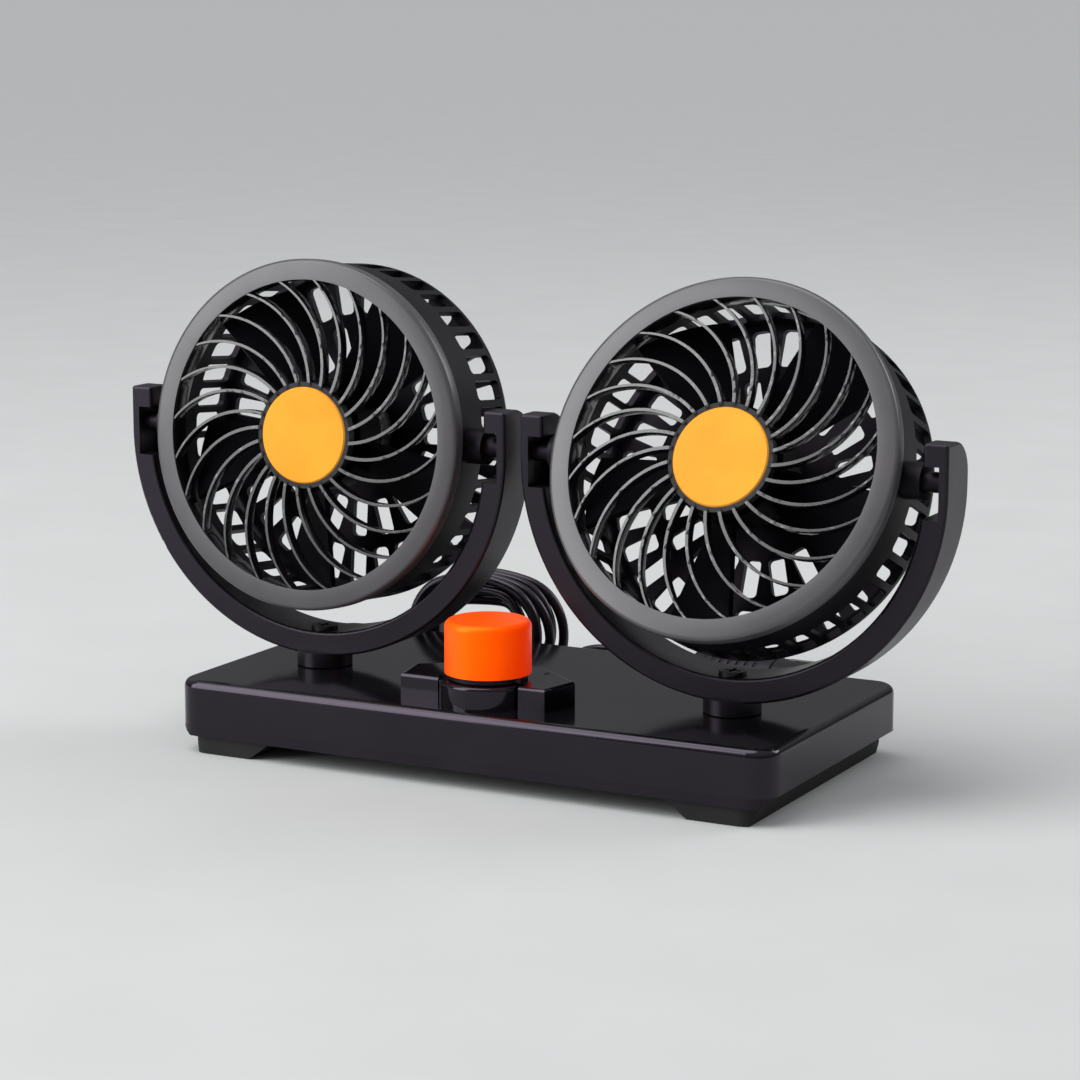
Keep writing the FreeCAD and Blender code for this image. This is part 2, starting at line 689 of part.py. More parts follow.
def spoke_shape():
    """One guard spoke: a strip between two arcs that sweep round from the hub to the ring."""
    front = size("spoke_setback") - size("ring_lead")
    inner = size("cap_radius") + size("hub_rim") - size("spoke_bite")
    outer = size("ring_radius") - size("ring_face") - size("seat_clearance") - size("hoop_thickness") / 2
    turns = (0.0, size("spoke_middle_sweep"), size("spoke_sweep"))
    radii = (inner, (inner + outer) / 2, outer)
    sides = []
    for way in (-1, 1):
        points = []
        for radius, turn in zip(radii, turns):
            half_width = math.degrees(size("spoke_width") / 2 / radius)
            points.append(polar(radius, size("spoke_start") + turn + way * half_width, front))
        sides.append(points)
    first, second = sides
    wire = Part.Wire([Part.Arc(*first).toShape(), Part.LineSegment(first[-1], second[-1]).toShape(),
                      Part.Arc(*reversed(second)).toShape(), Part.LineSegment(second[0], first[0]).toShape()])
    return Part.Face(wire).extrude(HEAD_AXIS * size("spoke_depth"))


def make_front_guard(side, sign):
    ring_inner = "(ring_radius - ring_face)"
    blank = turned(f"{side}_ring_blank", [
        (ring_inner, RING_BACK), (ring_inner, "-ring_lead"), ("ring_radius", "-ring_lead"),
        ("ring_radius", RING_BACK)])
    ring = round_edges(f"{side}_front_ring", blank, size("ring_round"), lies_at("y", (-size("ring_lead"),)))
    on_head(f"{side}_front_ring", ring, side, sign)

    hoop_outer = f"({ring_inner} - seat_clearance)"
    hoop_inner = f"({hoop_outer} - hoop_thickness)"
    flange_outer = f"({BARREL_INNER} - seat_clearance)"
    hoop_front = "(hoop_setback - ring_lead)"
    hoop_rear = f"({RING_BACK} + hoop_flange_depth)"
    hoop = turned(f"{side}_guard_hoop", [
        (hoop_inner, hoop_front), (hoop_outer, hoop_front), (hoop_outer, RING_BACK),
        (flange_outer, RING_BACK), (flange_outer, hoop_rear), (hoop_inner, hoop_rear)])
    lip_front = f"({CAP_SEAT} - hub_lip)"
    lip_inner = "(cap_radius + running_clearance)"
    hub_outer = "(cap_radius + hub_rim)"
    hub = turned(f"{side}_guard_hub", [
        ("0", CAP_SEAT), (lip_inner, CAP_SEAT), (lip_inner, lip_front), (hub_outer, lip_front),
        (hub_outer, HUB_BACK), ("0", HUB_BACK)])
    spokes = ready_shape(f"{side}_guard_spokes", ring_of(spoke_shape(), count("spoke_count")))
    on_head(f"{side}_guard_grille", fuse(f"{side}_guard_grille", hoop, hub, spokes), side, sign)

    cap = turned(f"{side}_hub_cap", [
        ("0", CAP_FRONT), ("cap_radius - cap_bevel", CAP_FRONT), ("cap_radius", f"{CAP_FRONT} + cap_bevel"),
        ("cap_radius", CAP_SEAT), ("0", CAP_SEAT)])
    on_head(f"{side}_hub_cap", cap, side, sign)


def window_tool(length, width, thickness, center, turn):
    """A round-cornered bar that cuts one window along its own Z."""
    bar = Part.makeBox(width, length, thickness, Vector(-width / 2, -length / 2, -thickness / 2))
    uprights = [edge for edge in bar.Edges if lies_at("x", (-width / 2, width / 2))(edge)]
    uprights = [edge for edge in uprights if lies_at("y", (-length / 2, length / 2))(edge)]
    bar = bar.makeFillet(size("window_corner"), uprights)
    bar.Placement = Placement(center, turn)
    return bar


def housing_windows():
    """All windows of the rear housing: one row round the barrel and two rows in its back."""
    barrel_middle = size("side_window_start") + size("side_window_length") / 2 - size("ring_lead")
    wall_middle = size("barrel_radius") - size("barrel_wall") / 2
    barrel = window_tool(size("side_window_length"), size("side_window_width"), size("barrel_wall") + 2 * OVER,
                         Vector(0, barrel_middle, wall_middle), Rotation())
    rows = [ring_of(barrel, count("side_window_count"))]
    back_middle = size("head_depth") - size("ring_lead") - size("back_wall") / 2
    for row in ("outer", "inner"):
        length = size(f"{row}_window_length")
        tool = window_tool(length, size(f"{row}_window_width"), size("back_wall") + 2 * OVER,
                           Vector(0, back_middle, size(f"{row}_window_start") + length / 2),
                           Rotation(Vector(1, 0, 0), 90))
        rows.append(ring_of(tool, count(f"{row}_window_count")))
    return Part.makeCompound(rows)


def make_rear_housing(side, sign):
    blank = turned(f"{side}_housing_blank", [
        ("barrel_radius", RING_BACK), ("barrel_radius", HEAD_REAR), ("0", HEAD_REAR), ("0", BACK_INNER),
        (BARREL_INNER, BACK_INNER), (BARREL_INNER, RING_BACK)])
    rear = size("head_depth") - size("ring_lead")
    outside = round_edges(f"{side}_housing_outside", blank, size("rear_round"), lies_at("y", (rear,)))
    shell = round_edges(f"{side}_housing_shell", outside, size("rear_round") - size("barrel_wall"),
                        lies_at("y", (rear - size("back_wall"),)))
    boss_hole = rod(f"{side}_boss_hole", "pivot_boss_radius", f"2 * {BOSS_END}",
                    (f"-{BOSS_END}", "0", "0"), "X")
    tools = [ready_shape(f"{side}_housing_windows", housing_windows()), boss_hole]
    before_back = f"{BACK_INNER} - {OVER}"
    for end, way in SIDES:
        tools.append(rod(f"{side}_motor_hole_{end}", "motor_screw_radius + seat_clearance",
                         f"back_wall + 2 * {OVER}", (f"{way} * motor_screw_spread", before_back, "0"), "Y"))
    on_head(f"{side}_rear_housing", cut(f"{side}_rear_housing", shell, *tools), side, sign)


def make_pivot_pins(side, sign):
    starts = (("left", f"-{BOSS_END}", f"-{PIVOT_END}"), ("right", BARREL_INNER, BARREL_INNER))
    pins = []
    for end, boss_start, pin_start in starts:
        boss = rod(f"{side}_pivot_boss_{end}", "pivot_boss_radius", f"{BOSS_END} - {BARREL_INNER}",
                   (boss_start, "0", "0"), "X")
        pin = rod(f"{side}_pivot_shank_{end}", "pivot_radius", f"{PIVOT_END} - {BARREL_INNER}",
                  (pin_start, "0", "0"), "X")
        pins.append(fuse(f"{side}_pivot_{end}", boss, pin))
    on_head(f"{side}_pivot_pins", group(f"{side}_pivot_pins", *pins), side, sign)


def make_motor(side, sign):
    can = rod(f"{side}_can_blank", "motor_radius", "motor_length", ("0", MOTOR_FRONT, "0"), "Y")
    bore = rod(f"{side}_can_bore", "motor_shaft_radius + running_clearance",
               f"motor_shaft_depth + face_gap + {OVER}", ("0", f"{MOTOR_FRONT} - {OVER}", "0"), "Y")
    on_head(f"{side}_motor_can", cut(f"{side}_motor_can", can, bore), side, sign)
    end = rod(f"{side}_end_blank", "motor_end_radius", "motor_end_length", ("0", MOTOR_END_FRONT, "0"), "Y")
    screw_end = f"({BACK_INNER} - motor_screw_bite)"
    pilots = []
    screws = []
    for name, way in SIDES:
        x = f"{way} * motor_screw_spread"
        pilots.append(rod(f"{side}_pilot_{name}", "motor_screw_radius + running_clearance",
                          f"motor_screw_bite + face_gap + {OVER}", (x, f"{screw_end} - face_gap", "0"), "Y"))
        shank = rod(f"{side}_motor_shank_{name}", "motor_screw_radius", "motor_screw_bite + back_wall",
                    (x, screw_end, "0"), "Y")
        head = rod(f"{side}_motor_head_{name}", "motor_screw_head_radius", "motor_screw_head_height",
                   (x, HEAD_REAR, "0"), "Y")
        face = (x, f"({HEAD_REAR} + motor_screw_head_height)", "0")
        recess = cross_recess(f"{side}_motor_recess_{name}", "motor_screw_head_radius",
                              "motor_screw_head_height", face, 1)
        solid = fuse(f"{side}_motor_screw_solid_{name}", shank, head)
        screws.append(cut(f"{side}_motor_screw_{name}", solid, *recess))
    on_head(f"{side}_motor_end", cut(f"{side}_motor_end", end, *pilots), side, sign)
    on_head(f"{side}_motor_screws", group(f"{side}_motor_screws", *screws), side, sign)


def blade_section(radius, chord, pitch):
    """The thin oblong that a blade has at one radius, turned to its pitch."""
    turn = Rotation(Vector(0, 0, 1), pitch)
    thickness = size("blade_thickness")
    corners = []
    for along, across in ((-1, -1), (1, -1), (1, 1), (-1, 1)):
        corner = Vector(along * chord / 2, across * thickness / 2, radius)
        corners.append(turn.multVec(corner))
    return Part.makePolygon(corners + corners[:1])


def blade_shape():
    """One fan blade, lofted from a steep narrow root to a flatter, wider tip."""
    tip = size("barrel_radius") - size("barrel_wall") - size("rotor_tip_gap")
    root = size("rotor_hub_radius") - size("rotor_hub_wall")
    return Part.makeLoft([blade_section(root, size("blade_root_chord"), size("blade_root_pitch")),
                          blade_section(tip, size("blade_tip_chord"), size("blade_tip_pitch"))], True, True)


def make_rotor(side, sign):
    hub_rear = f"({ROTOR_FRONT} + rotor_hub_length)"
    boss_rear = f"({MOTOR_FRONT} - rotor_boss_gap)"
    web_rear = f"({ROTOR_FRONT} + rotor_hub_wall)"
    bore = "(motor_shaft_radius + running_clearance)"
    cup = "(rotor_hub_radius - rotor_hub_wall)"
    hub = turned(f"{side}_rotor_hub", [
        (bore, ROTOR_FRONT), ("rotor_hub_radius", ROTOR_FRONT), ("rotor_hub_radius", hub_rear),
        (cup, hub_rear), (cup, web_rear), ("rotor_boss_radius", web_rear),
        ("rotor_boss_radius", boss_rear), (bore, boss_rear)])
    blades = ring_of(blade_shape(), count("blade_count"), size("blade_start"))
    ring = ready_shape(f"{side}_blade_ring", blades)
    place(ring, "0", f"{ROTOR_FRONT} + blade_middle", "0")
    start = ("0", f"{ROTOR_FRONT} - rotor_hub_length", "0")
    length = "3 * rotor_hub_length"
    swept = rod(f"{side}_blade_sweep", f"{BARREL_INNER} - rotor_tip_gap", length, start, "Y")
    core = rod(f"{side}_blade_core", "rotor_hub_radius - rotor_hub_wall / 2", length, start, "Y")
    trimmed = common(f"{side}_blades", ring, cut(f"{side}_blade_room", swept, core))
    on_head(f"{side}_fan_rotor", fuse(f"{side}_fan_rotor", hub, trimmed), side, sign)
    shaft = rod(f"{side}_shaft_rod", "motor_shaft_radius",
                f"{MOTOR_FRONT} + motor_shaft_depth - {ROTOR_FRONT}", ("0", ROTOR_FRONT, "0"), "Y")
    on_head(f"{side}_motor_shaft", group(f"{side}_motor_shaft", shaft), side, sign)


def make_strain_relief():
    wall = "(base_depth / 2)"
    inside = f"({wall} - side_wall)"
    flange = f"({inside} - relief_flange)"
    end = f"({wall} + relief_length)"
    relief = turned("strain_relief", [
        ("0", flange), ("relief_radius", flange), ("relief_radius", inside), ("relief_neck_radius", inside),
        ("relief_neck_radius", wall), ("relief_radius", wall), ("relief_neck_radius", end), ("0", end)])
    place(relief, "-relief_offset", "0", RELIEF_Z)
    keep("strain_relief", relief)


def swept_cord(edges):
    """A round tube along a path of tangent edges."""
    path = Part.Wire(edges)
    heading = edges[0].tangentAt(edges[0].FirstParameter)
    section = Part.Wire(Part.makeCircle(size("cord_radius"), edges[0].Vertexes[0].Point, heading))
    tube = path.makePipeShell([section], True, False)
    ideal = math.pi * size("cord_radius") ** 2 * path.Length
    if abs(tube.Volume - ideal) > 0.01 * ideal:
        raise RuntimeError(f"cord tube volume {tube.Volume:.0f} is not {ideal:.0f}")
    return tube


def route_edges(name, route):
    """Straight runs joined by arcs as large as the runs allow."""
    points = [Vector(*point) for point in route]
    edges = []
    radii = []
    here = points[0]
    for before, corner, after in zip(points, points[1:], points[2:]):
        back = before - corner
        ahead = after - corner
        trim = ARC_SHARE * min(back.Length, ahead.Length)
        half_turn = (math.pi - back.getAngle(ahead)) / 2
        radius = trim / math.tan(half_turn)
        back.normalize()
        ahead.normalize()
        inward = (back + ahead).normalize()
        middle = corner + inward * (radius / math.cos(half_turn) - radius)
        edges.append(Part.LineSegment(here, corner + back * trim).toShape())
        edges.append(Part.Arc(corner + back * trim, middle, corner + ahead * trim).toShape())
        here = corner + ahead * trim
        radii.append(round(radius, 1))
    edges.append(Part.LineSegment(here, points[-1]).toShape())
    print(f"{name} arc radii", radii)
    return edges


def hank_levels():
    """Height of each level run about the hank's middle, and whether the run steps on to the next layer."""
    radii = [size("hank_radius") - step * size("hank_step") for step in range(count("hank_loops"))]
    inward = [way * radius for radius in radii for way in (-1, 1)]
    there_and_back = inward + inward[-2::-1]
    levels = there_and_back + there_and_back[1:] * (HANK_LAYERS // 2 - 1)
    last = len(levels) - 1
    steps_on = [number % (len(inward) - 1) == 0 and 0 < number < last for number in range(len(levels))]
    return list(zip(levels, steps_on))


def hank_edges():
    """The wound cord: level runs and half turns that spiral in and out, layer by layer."""
    half = size("hank_run") / 2
    step = size("hank_step")
    center = Vector(size("hank_center_x"), size("hank_first_y"),
                    size("floor_gap") + size("cord_radius") + size("hank_radius"))
    slope = math.atan2(step, size("hank_run"))
    radius = half / math.sin(2 * slope)
    levels = hank_levels()
    edges = []
    depth = 0.0
    for index, (level, steps_on) in enumerate(levels):
        way = 1 if level < 0 else -1
        start = center + Vector(-way * half, -depth, level)
        depth += step if steps_on else 0.0
        end = center + Vector(way * half, -depth, level)
        if steps_on:
            middle = (start + end) * 0.5
            bulge = Vector(way * radius * math.sin(slope), radius * (math.cos(slope) - 1), 0)
            edges.append(Part.Arc(start, start + bulge, middle).toShape())
            edges.append(Part.Arc(middle, end - bulge, end).toShape())
        else:
            edges.append(Part.LineSegment(start, end).toShape())
        if index + 1 < len(levels):
            following = levels[index + 1][0]
            turn_end = center + Vector(way * half, -depth, following)
            outside = Vector(way * abs(following - level) / 2, 0, 0)
            edges.append(Part.Arc(end, (end + turn_end) * 0.5 + outside, turn_end).toShape())
    return edges


def least_self_gap(edges):
    """Least distance between the surfaces of turns that lie beside each other, measured on points."""
    points = []
    travelled = 0.0
    for edge in edges:
        samples = max(2, int(edge.Length / size("cord_radius")))
        for step, point in enumerate(edge.discretize(samples)[:-1]):
            points.append((travelled + edge.Length * step / (samples - 1), point))
        travelled += edge.Length
    beside = 4 * math.pi * size("cord_radius")
    least = min((second - first).Length for number, (start, first) in enumerate(points)
                for end, second in points[number + 1:] if end - start > beside)
    return least - 2 * size("cord_radius")


def make_cord():
    hank = hank_edges()
    lead = route_edges("cord_lead", LEAD_ROUTE)
    tail = route_edges("cord_tail", TAIL_ROUTE)
    length = sum(edge.Length for edge in lead + hank + tail)
    print(f"hank least self gap {least_self_gap(hank):.2f}, cord length {length:.0f}")
    for node, edges in (("cord_lead", lead), ("cord_hank", hank), ("cord_tail", tail)):
        keep(node, ready_shape(node, swept_cord(edges)))


def make_tie():
    """A flat band round all the strands of the hank's left bend."""
    margin = "(cord_radius + tie_gap)"
    layers = f"({HANK_LAYERS - 1} * hank_step)"
    room = (f"((hank_loops - 1) * hank_step + 2 * {margin})", f"({layers} + 2 * {margin})")
    corner = (f"(hank_center_x - hank_run / 2 - hank_radius - {margin})",
              f"(hank_first_y - {layers} - {margin})")
    low = "(floor_gap + cord_radius + hank_radius - tie_width / 2)"
    band = box("tie_band", (*(f"{length} + 2 * tie_thickness" for length in room), "tie_width"),
               (*(f"{edge} - tie_thickness" for edge in corner), low))
    hollow = box("tie_hollow", (*room, f"tie_width + 2 * {OVER}"), (*corner, f"{low} - {OVER}"))
    keep("cord_tie", cut("cord_tie", band, hollow))


def lay_plug(item):
    """Put a plug piece, turned about the X axis, on the plug's axis."""
    place(item, "0", "plug_y", PLUG_AXIS_Z)
    return item


def make_plug():
    relief = turned("plug_relief", [
        ("plug_start", "0"), ("plug_start", "plug_relief_small"), (PLUG_BODY_START, "plug_relief_large"),
        (PLUG_BODY_START, "0")], "H_Axis")
    keep("plug_relief", lay_plug(relief))
    body = turned("plug_body", [
        (PLUG_BODY_START, "0"), (PLUG_BODY_START, "plug_radius - plug_bevel"),
        (f"{PLUG_BODY_START} + plug_bevel", "plug_radius"), (NOSE_START, "plug_radius"),
        (NOSE_START, "0")], "H_Axis")
    keep("plug_body", lay_plug(body))
    nose = lay_plug(turned("nose_blank", [
        (NOSE_START, "0"), (NOSE_START, "nose_radius"), (f"{NOSE_END} - nose_bevel", "nose_radius"),
        (NOSE_END, "nose_radius - nose_bevel"), (NOSE_END, "0")], "H_Axis"))
    tip_room = "(tip_inside + tip_travel + face_gap)"
    tools = [rod("nose_bore", "tip_radius + running_clearance", f"{tip_room} + {OVER}",
                 (f"{NOSE_END} - {tip_room}", "plug_y", PLUG_AXIS_Z), "X")]
    contacts = []
    lengths = ("contact_length", "contact_width", "contact_depth + contact_proud")
    for name, near in (("lower", "- nose_radius - contact_proud"), ("upper", "+ nose_radius - contact_depth")):
        corner = (f"{NOSE_START} + contact_start", "plug_y - contact_width / 2", f"{PLUG_AXIS_Z} {near}")
        tools.append(box(f"nose_slot_{name}", lengths, corner))
        contacts.append(box(f"contact_{name}", lengths, corner))
    keep("plug_nose", cut("plug_nose", nose, *tools))
    keep("plug_contacts", group("plug_contacts", *contacts))
    tip_start = f"({NOSE_END} - tip_inside)"
    tip_end = f"({NOSE_END} + tip_reach)"
    tip = turned("plug_tip", [
        (tip_start, "0"), (tip_start, "tip_radius"), (f"{tip_end} - tip_bevel", "tip_radius"),
        (tip_end, "tip_radius - tip_bevel"), (tip_end, "0")], "H_Axis")
    keep("plug_tip", lay_plug(tip))


make_base_cover()
make_base_tray()
make_base_screws()
make_feet()
make_plinth()
make_switch()
make_knob()
for side, sign in SIDES:
    make_yoke(side, sign)
    make_swivel_hardware(side, sign)
    make_front_guard(side, sign)
    make_rear_housing(side, sign)
    make_pivot_pins(side, sign)
    make_motor(side, sign)
    make_rotor(side, sign)
make_strain_relief()
make_cord()
make_tie()
make_plug()
doc.recompute()

for item in doc.Objects:
    if "Invalid" in item.State or "Error" in item.State:
        raise RuntimeError(f"{item.Name} failed: {item.State}")
for node, item in nodes.items():
    if item.Shape.isNull() or not item.Shape.isValid() or item.Shape.Volume <= 0:
        raise RuntimeError(f"{node} has no valid solid")

os.makedirs("parts", exist_ok=True)
for node, item in nodes.items():
    item.Shape.exportStep(f"parts/{node}.step")
print(len(nodes), "parts written")
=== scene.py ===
import json
import math

import bmesh
import bpy
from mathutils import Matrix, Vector


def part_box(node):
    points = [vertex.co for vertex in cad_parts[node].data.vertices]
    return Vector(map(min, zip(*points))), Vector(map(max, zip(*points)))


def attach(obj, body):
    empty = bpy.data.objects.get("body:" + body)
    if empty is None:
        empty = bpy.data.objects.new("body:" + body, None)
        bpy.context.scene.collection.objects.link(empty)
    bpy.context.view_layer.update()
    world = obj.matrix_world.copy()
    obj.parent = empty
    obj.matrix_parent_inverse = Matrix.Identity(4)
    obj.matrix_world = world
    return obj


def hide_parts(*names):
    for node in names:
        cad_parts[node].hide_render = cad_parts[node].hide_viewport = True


# Dual head car fan, in the frame of the solids: +Z up, -Y the front, origin under the middle of the base.
# Sizes are named in millimetres, and MM makes them metres. Lamps and the floor are placed in metres.

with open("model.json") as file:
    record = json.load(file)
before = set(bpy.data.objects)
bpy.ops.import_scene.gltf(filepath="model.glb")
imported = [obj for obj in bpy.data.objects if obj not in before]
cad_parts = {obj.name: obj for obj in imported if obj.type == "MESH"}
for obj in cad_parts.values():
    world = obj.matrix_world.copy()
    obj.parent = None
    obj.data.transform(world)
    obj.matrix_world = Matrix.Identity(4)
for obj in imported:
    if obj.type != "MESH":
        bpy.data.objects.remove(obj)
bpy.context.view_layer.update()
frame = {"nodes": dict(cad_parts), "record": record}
nodes = frame["nodes"]
scene = bpy.context.scene

MM = 0.001
SAME_SPOT = 0.001 * MM
ALONG_X = Vector((1, 0, 0))
ALONG_Y = Vector((0, 1, 0))
UP = Vector((0, 0, 1))

# Camera

VIEW_POINT = Vector((399.584, -758.202, 216.807))
VIEW_AZIMUTH = math.radians(27.790)
VIEW_ELEVATION = math.radians(9.543)
LENS_MM = 103.206
SENSOR_MM = 36
SHIFT_X = 0.00249
SHIFT_Y = -0.03696

camera_data = bpy.data.cameras.new("camera")
camera_data.sensor_width = SENSOR_MM
camera_data.lens = LENS_MM
camera_data.shift_x = SHIFT_X
camera_data.shift_y = SHIFT_Y
camera = bpy.data.objects.new("camera", camera_data)
camera.location = VIEW_POINT * MM
camera.rotation_euler = (math.pi / 2 - VIEW_ELEVATION, 0, VIEW_AZIMUTH)
scene.collection.objects.link(camera)
scene.camera = camera

# Cord: one spline along the lead, the hank's turns and the tail

CORD_RADIUS = 1.5
CORD_ROUNDNESS = 5
CORD_STEPS = 6
LEAD_ROUTE = [(-82.0, 52.4, 14.0), (-82.0, 58.4, 14.0), (-79.5, 64.0, 12.0), (-75.0, 67.3, 8.6),
              (-69.0, 67.3, 4.2), (-62.5, 67.3, 1.6), (-56.3, 67.3, 1.6)]
TAIL_ROUTE = [(-45.7, 56.8, 1.6), (-37.0, 56.8, 1.6), (-26.0, 57.4, 9.0), (-16.0, 58.3, 16.5),
              (-7.0, 59.1, 18.2), (1.0, 59.7, 15.0), (6.5, 60.0, 11.4), (10.5, 60.0, 10.6),
              (14.0, 60.0, 10.6)]
HANK_X = -51.0
HANK_Y = 67.3
HANK_Z = 18.8
HANK_HALF_RUN = 5.3
HANK_RADII = (17.2, 13.7, 10.2)
HANK_STEP = 3.5
HANK_LAYERS = 4
# Four points round a half turn, and how far outside its arc they stand.
TURN_STEP = 36
TURN_ANGLES = [TURN_STEP * share for share in (-1.5, -0.5, 0.5, 1.5)]
TURN_HULL = 1 / math.cos(math.radians(TURN_STEP / 2))
# The right end isn't tied: how far each turn reaches out there, leans to one side and lifts.
OPEN_TURNS = [(1.6, 1.2, -0.6), (0.8, 1.4, 0.4), (-1.2, 1.0, 1.2), (-0.6, 0.5, 0.8), (0.9, 0.7, -0.3),
              (1.2, -0.2, -0.8), (0.2, -0.4, 0.5), (-1.4, -0.1, 1.0), (-0.8, -1.0, 0.9), (1.0, -1.3, -0.4)]


def hank_points():
    """Control points of the wound turns, which spiral in and out layer by layer and open at the right."""
    inward = [way * radius for radius in HANK_RADII for way in (-1, 1)]
    layer_pair = inward + inward[-2::-1]
    levels = layer_pair + layer_pair[1:] * (HANK_LAYERS // 2 - 1)
    layer_half_turns = len(inward) - 1
    points = []
    y = HANK_Y
    for number, (level, following) in enumerate(zip(levels, levels[1:])):
        if number and number % layer_half_turns == 0:
            y -= HANK_STEP
        way = 1 if level < 0 else -1
        opening = Vector(OPEN_TURNS[number // 2] if way > 0 else (0, 0, 0))
        end = Vector((HANK_X + way * HANK_HALF_RUN, y, HANK_Z))
        middle = (following + level) / 2
        hull = abs(following - level) / 2 * TURN_HULL
        points.append(end + UP * level)
        for angle in TURN_ANGLES:
            turn = math.radians(angle)
            corner = Vector((way * hull * math.cos(turn), 0, middle + way * hull * math.sin(turn)))
            points.append(end + corner + opening)
        points.append(end + UP * following)
    return points


def make_cord():
    curve = bpy.data.curves.new("supply_cord", "CURVE")
    curve.dimensions = "3D"
    # The thickness is in the points' radii, because a curve's box counts those.
    curve.bevel_depth = 1
    curve.bevel_resolution = CORD_ROUNDNESS
    curve.resolution_u = CORD_STEPS
    curve.use_fill_caps = True
    points = LEAD_ROUTE + hank_points() + TAIL_ROUTE
    spline = curve.splines.new("NURBS")
    spline.points.add(len(points) - 1)
    for point, spot in zip(spline.points, points):
        point.co = (*(Vector(spot) * MM), 1)
        point.radius = CORD_RADIUS * MM
    spline.order_u = 3
    spline.use_endpoint_u = True
    item = bpy.data.objects.new("supply_cord", curve)
    scene.collection.objects.link(item)
    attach(item, "base")
    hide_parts("cord_lead", "cord_hank", "cord_tail")
    return item


cord = make_cord()

# Finishes

# The stretch of a noise's values over which a finish goes from one look to the other
NOISE_LOW, NOISE_HIGH = 0.3, 0.7
STEP_BLUR = 0.1
UNSTRETCHED = (1, 1, 1)


class Finish:
    """A procedural surface: one shader, fed by noise in the object's own coordinates."""

    def __init__(self, name, roughness, metallic=0.0, specular=0.5):
        self.made = bpy.data.materials.new(name)
        self.made.use_nodes = True
        self.tree = self.made.node_tree
        self.shader = self.tree.nodes["Principled BSDF"]
        self.shader.inputs["Roughness"].default_value = roughness
        self.shader.inputs["Metallic"].default_value = metallic
        self.shader.inputs["Specular IOR Level"].default_value = specular
        self.spots = self.tree.nodes.new("ShaderNodeTexCoord").outputs["Object"]

    def noise(self, size, detail, stretch=UNSTRETCHED):
        """Noise whose blotches are about the given size across, in millimetres."""
        source = self.spots
        if stretch != UNSTRETCHED:
            mapping = self.tree.nodes.new("ShaderNodeMapping")
            mapping.inputs["Scale"].default_value = stretch
            self.tree.links.new(source, mapping.inputs["Vector"])
            source = mapping.outputs["Vector"]
        node = self.tree.nodes.new("ShaderNodeTexNoise")
        node.inputs["Scale"].default_value = 1 / (size * MM)
        node.inputs["Detail"].default_value = detail
        self.tree.links.new(source, node.inputs["Vector"])
        return node.outputs["Fac"]

    def between(self, factor, low, high, socket):
        """Lead a shader socket from a low to a high value or colour as a noise goes from dark to light."""
        ramp = self.tree.nodes.new("ShaderNodeValToRGB")
        ends = ramp.color_ramp.elements
        ends[0].position = NOISE_LOW
        ends[1].position = NOISE_HIGH
        for end, amount in zip(ends, (low, high)):
            shade = amount if isinstance(amount, tuple) else (amount, amount, amount)
            end.color = (*shade, 1)
        self.tree.links.new(factor, ramp.inputs["Fac"])
        self.tree.links.new(ramp.outputs["Color"], self.shader.inputs[socket])

    def relief(self, factor, depth):
        """Raise and sink the surface with a noise, by a depth in millimetres."""
        bump = self.tree.nodes.new("ShaderNodeBump")
        bump.inputs["Distance"].default_value = depth * MM
        self.tree.links.new(factor, bump.inputs["Height"])
        self.tree.links.new(bump.outputs["Normal"], self.shader.inputs["Normal"])

    def distance_from(self, axis_spot, tilt):
        """Distance from an axis that runs front to back through a spot, tilted up by an angle in degrees."""
        mapping = self.tree.nodes.new("ShaderNodeMapping")
        mapping.vector_type = "TEXTURE"
        mapping.inputs["Location"].default_value = axis_spot * MM
        mapping.inputs["Rotation"].default_value = (math.radians(-tilt), 0, 0)
        self.tree.links.new(self.spots, mapping.inputs["Vector"])
        across = self.tree.nodes.new("ShaderNodeVectorMath")
        across.operation = "MULTIPLY"
        across.inputs[1].default_value = (1, 0, 1)
        self.tree.links.new(mapping.outputs["Vector"], across.inputs[0])
        length = self.tree.nodes.new("ShaderNodeVectorMath")
        length.operation = "LENGTH"
        self.tree.links.new(across.outputs["Vector"], length.inputs[0])
        return length.outputs["Value"]

    def step(self, distance, edge, before, after, socket):
        """Give a shader socket one value up to a distance in millimetres and another past it."""
        reach = self.tree.nodes.new("ShaderNodeMapRange")
        reach.inputs["From Min"].default_value = (edge - STEP_BLUR) * MM
        reach.inputs["From Max"].default_value = (edge + STEP_BLUR) * MM
        reach.inputs["To Min"].default_value = before
        reach.inputs["To Max"].default_value = after
        self.tree.links.new(distance, reach.inputs["Value"])
        self.tree.links.new(reach.outputs["Result"], self.shader.inputs[socket])

    def tint_shine(self, colour):
        """Colour the reflections, as a dyed clear plastic does."""
        self.shader.inputs["Specular Tint"].default_value = (*colour, 1)

    def paint_glow(self, colour, strength):
        """Painted glow: an emission of one colour and strength that shines whatever the lamps do."""
        self.shader.inputs["Emission Color"].default_value = (*colour, 1)
        self.shader.inputs["Emission Strength"].default_value = strength


BLOTCH_SIZE, BLOTCH_DETAIL = 14, 3
SHINE_SIZE, SHINE_DETAIL = 30, 5
GRAIN_DETAIL = 2
STREAK_SIZE, STREAK_DETAIL, STREAK_DEPTH = 0.6, 3, 0.004
STREAK_STRETCH = (0.08, 1, 1)
METAL_SHINE_SIZE, METAL_SHINE_DETAIL = 4, 3


def moulded(name, dark, light, roughness, grain, specular):
    """Moulded plastic with faint colour blotches and a fine grain, of the same shine all over."""
    grain_size, grain_depth = grain
    finish = Finish(name, roughness, specular=specular)
    finish.between(finish.noise(BLOTCH_SIZE, BLOTCH_DETAIL), dark, light, "Base Color")
    finish.relief(finish.noise(grain_size, GRAIN_DETAIL), grain_depth)
    return finish


